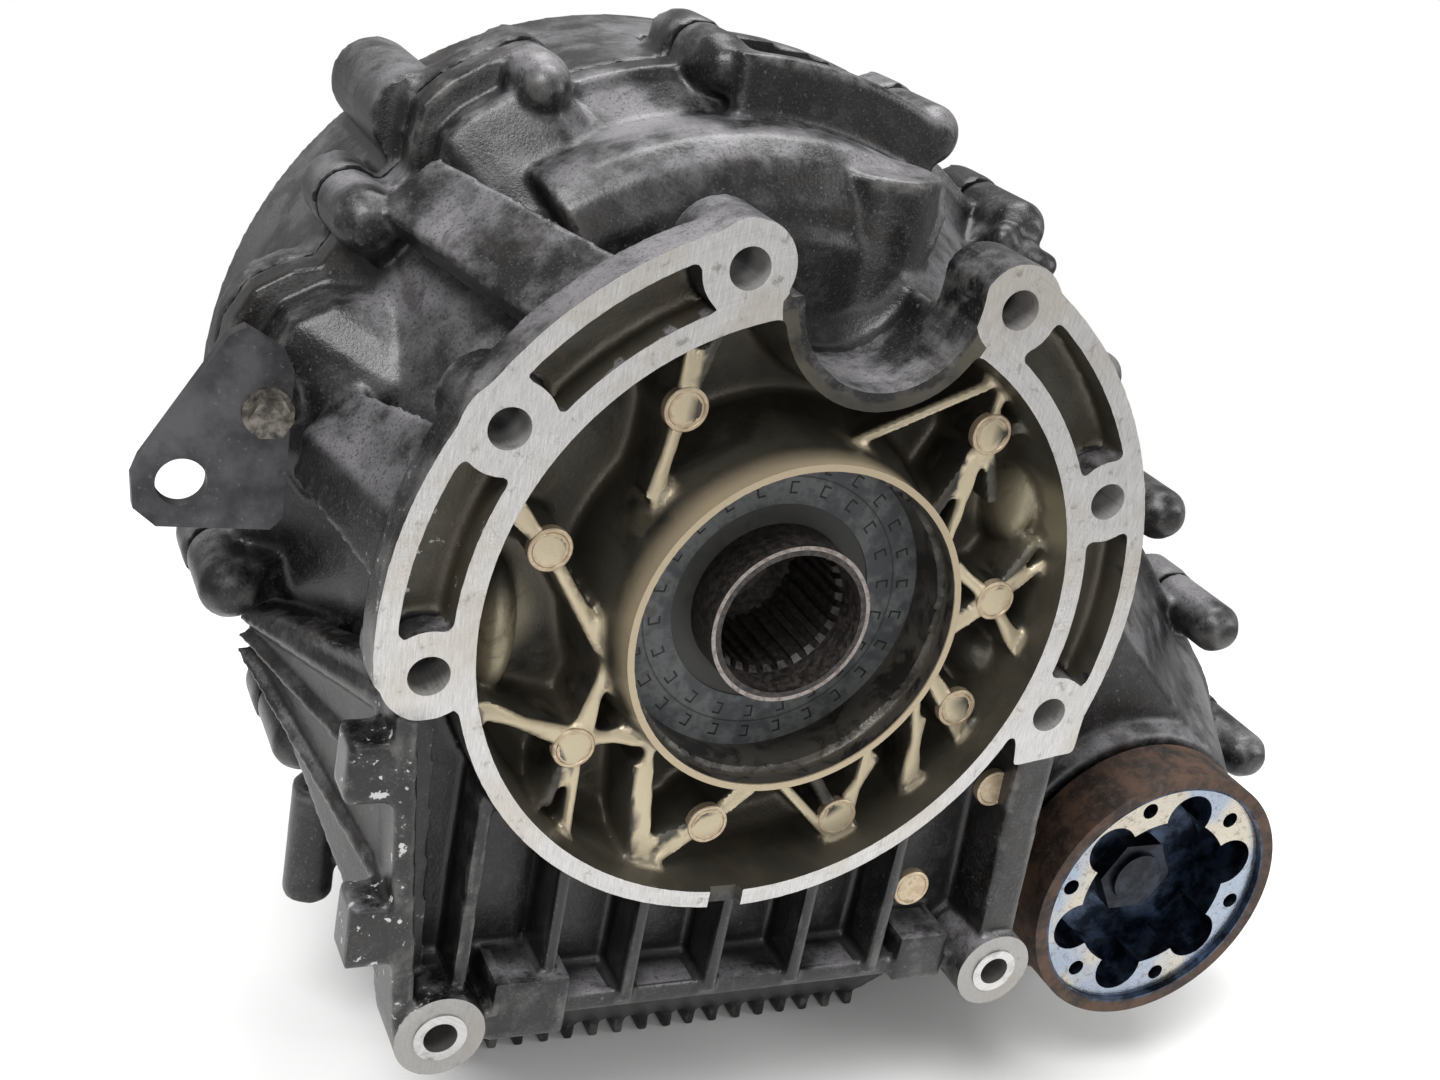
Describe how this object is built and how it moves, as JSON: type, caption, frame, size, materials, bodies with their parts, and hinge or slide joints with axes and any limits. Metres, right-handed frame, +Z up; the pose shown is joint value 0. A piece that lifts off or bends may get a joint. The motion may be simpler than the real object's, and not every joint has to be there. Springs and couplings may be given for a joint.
{
  "type": "transfer case",
  "caption": "Two-speed transfer case: ribbed cast housing with a round bell, splined input sleeve, finned sump, chain-driven front output cup and rear output flange.",
  "frame": {"origin": "on the main axis at the front mating face of the bell, inside the mouth of the input sleeve", "axes": "+Y runs rearward along the shafts, +X points to the side of the front output, +Z is up, square to the sump's finned floor"},
  "size_m": [0.4941, 0.3468, 0.3916],
  "materials": {
    "cast_aluminium": "cast, oily and stained dark grey, machined faces bright",
    "machined_steel": "turned steel",
    "gear_steel": "ground hardened steel",
    "plated_steel": "plated, dull",
    "bearing_steel": "fine turned grey",
    "seal_rubber": "matt black",
    "flange_steel": "rust brown outside, bright turned face, blued inside",
    "bracket_steel": "dark, oily",
    "motor_shell": "dull cast"
  },
  "bodies": {
    "case": {"front_case": "cast_aluminium", "rear_case": "cast_aluminium", "rear_cover": "cast_aluminium", "case_bolts": "plated_steel", "cover_bolts": "plated_steel", "left_lug_bush": "machined_steel", "right_lug_bush": "machined_steel", "side_bracket": "bracket_steel", "bracket_bolt": "plated_steel", "drain_plug": "plated_steel", "filler_plug": "plated_steel", "breather": "machined_steel", "ring_gear": "gear_steel", "drive_chain": "gear_steel", "ramp_plate": "machined_steel", "actuator_motor": "motor_shell", "input_bearing": "bearing_steel", "bearing_spacer": "machined_steel", "seal_carrier": "bearing_steel", "input_seal": "seal_rubber", "front_output_seal": "seal_rubber", "front_output_bearing": "bearing_steel", "rear_support_bearing": "bearing_steel", "rear_output_bearing": "bearing_steel", "rear_output_seal": "seal_rubber", "oil_pump": "cast_aluminium"},
    "input": {"input_shaft": "machined_steel"},
    "carrier": {"planet_carrier": "machined_steel", "planet_pins": "gear_steel"},
    "planet_1": {"planet_gear_1": "gear_steel"},
    "planet_2": {"planet_gear_2": "gear_steel"},
    "planet_3": {"planet_gear_3": "gear_steel"},
    "planet_4": {"planet_gear_4": "gear_steel"},
    "main": {"main_shaft": "machined_steel", "diff_case": "machined_steel", "drive_sprocket": "gear_steel", "clutch_drum": "machined_steel", "clutch_plates": "gear_steel", "rear_output_flange": "flange_steel", "rear_flange_nut": "plated_steel"},
    "sleeve": {"shift_sleeve": "gear_steel"},
    "fork": {"shift_fork": "cast_aluminium", "shift_rail": "machined_steel"},
    "ramp": {"ramp_ring": "machined_steel"},
    "actuator": {"actuator_pinion": "gear_steel"},
    "front_output": {"front_output_shaft": "machined_steel", "driven_sprocket": "gear_steel", "front_output_flange": "flange_steel", "front_flange_nut": "plated_steel"}
  },
  "joints": [
    {"name": "main_spin", "type": "hinge", "parent": "case", "child": "main", "pos_m": [0, 0, 0], "axis": [0, 1, 0], "continuous": true},
    {"name": "input_spin", "type": "hinge", "parent": "case", "child": "input", "pos_m": [0, 0, 0], "axis": [0, 1, 0], "continuous": true},
    {"name": "front_output_spin", "type": "hinge", "parent": "case", "child": "front_output", "pos_m": [0.20619, 0, -0.1396], "axis": [0, 1, 0], "continuous": true},
    {"name": "carrier_spin", "type": "hinge", "parent": "case", "child": "carrier", "pos_m": [0, 0, 0], "axis": [0, 1, 0], "continuous": true},
    {"name": "planet_1_spin", "type": "hinge", "parent": "carrier", "child": "planet_1", "pos_m": [0.055, 0, 0], "axis": [0, 1, 0], "continuous": true},
    {"name": "planet_2_spin", "type": "hinge", "parent": "carrier", "child": "planet_2", "pos_m": [0, 0, 0.055], "axis": [0, 1, 0], "continuous": true},
    {"name": "planet_3_spin", "type": "hinge", "parent": "carrier", "child": "planet_3", "pos_m": [-0.055, 0, 0], "axis": [0, 1, 0], "continuous": true},
    {"name": "planet_4_spin", "type": "hinge", "parent": "carrier", "child": "planet_4", "pos_m": [0, 0, -0.055], "axis": [0, 1, 0], "continuous": true},
    {"name": "fork_slide", "type": "slide", "parent": "case", "child": "fork", "axis": [0, 1, 0], "range_m": [0, 0.012]},
    {"name": "sleeve_slide", "type": "slide", "parent": "main", "child": "sleeve", "axis": [0, 1, 0], "range_m": [0, 0.012]},
    {"name": "ramp_turn", "type": "hinge", "parent": "case", "child": "ramp", "pos_m": [0, 0, 0], "axis": [0, 1, 0], "range_deg": [0, 30]},
    {"name": "actuator_turn", "type": "hinge", "parent": "case", "child": "actuator", "pos_m": [0.05, 0, 0.0866], "axis": [0, 1, 0], "range_deg": [-120, 0]}
  ],
  "couplings": [
    {"joint": "input_spin", "follows": "main_spin", "ratio": 1},
    {"joint": "front_output_spin", "follows": "main_spin", "ratio": 1},
    {"joint": "carrier_spin", "follows": "main_spin", "ratio": 0.34091},
    {"joint": "planet_1_spin", "follows": "main_spin", "ratio": -1.4123},
    {"joint": "planet_2_spin", "follows": "main_spin", "ratio": -1.4123},
    {"joint": "planet_3_spin", "follows": "main_spin", "ratio": -1.4123},
    {"joint": "planet_4_spin", "follows": "main_spin", "ratio": -1.4123},
    {"joint": "sleeve_slide", "follows": "fork_slide", "ratio": 1},
    {"joint": "actuator_turn", "follows": "ramp_turn", "ratio": -4}
  ]
}
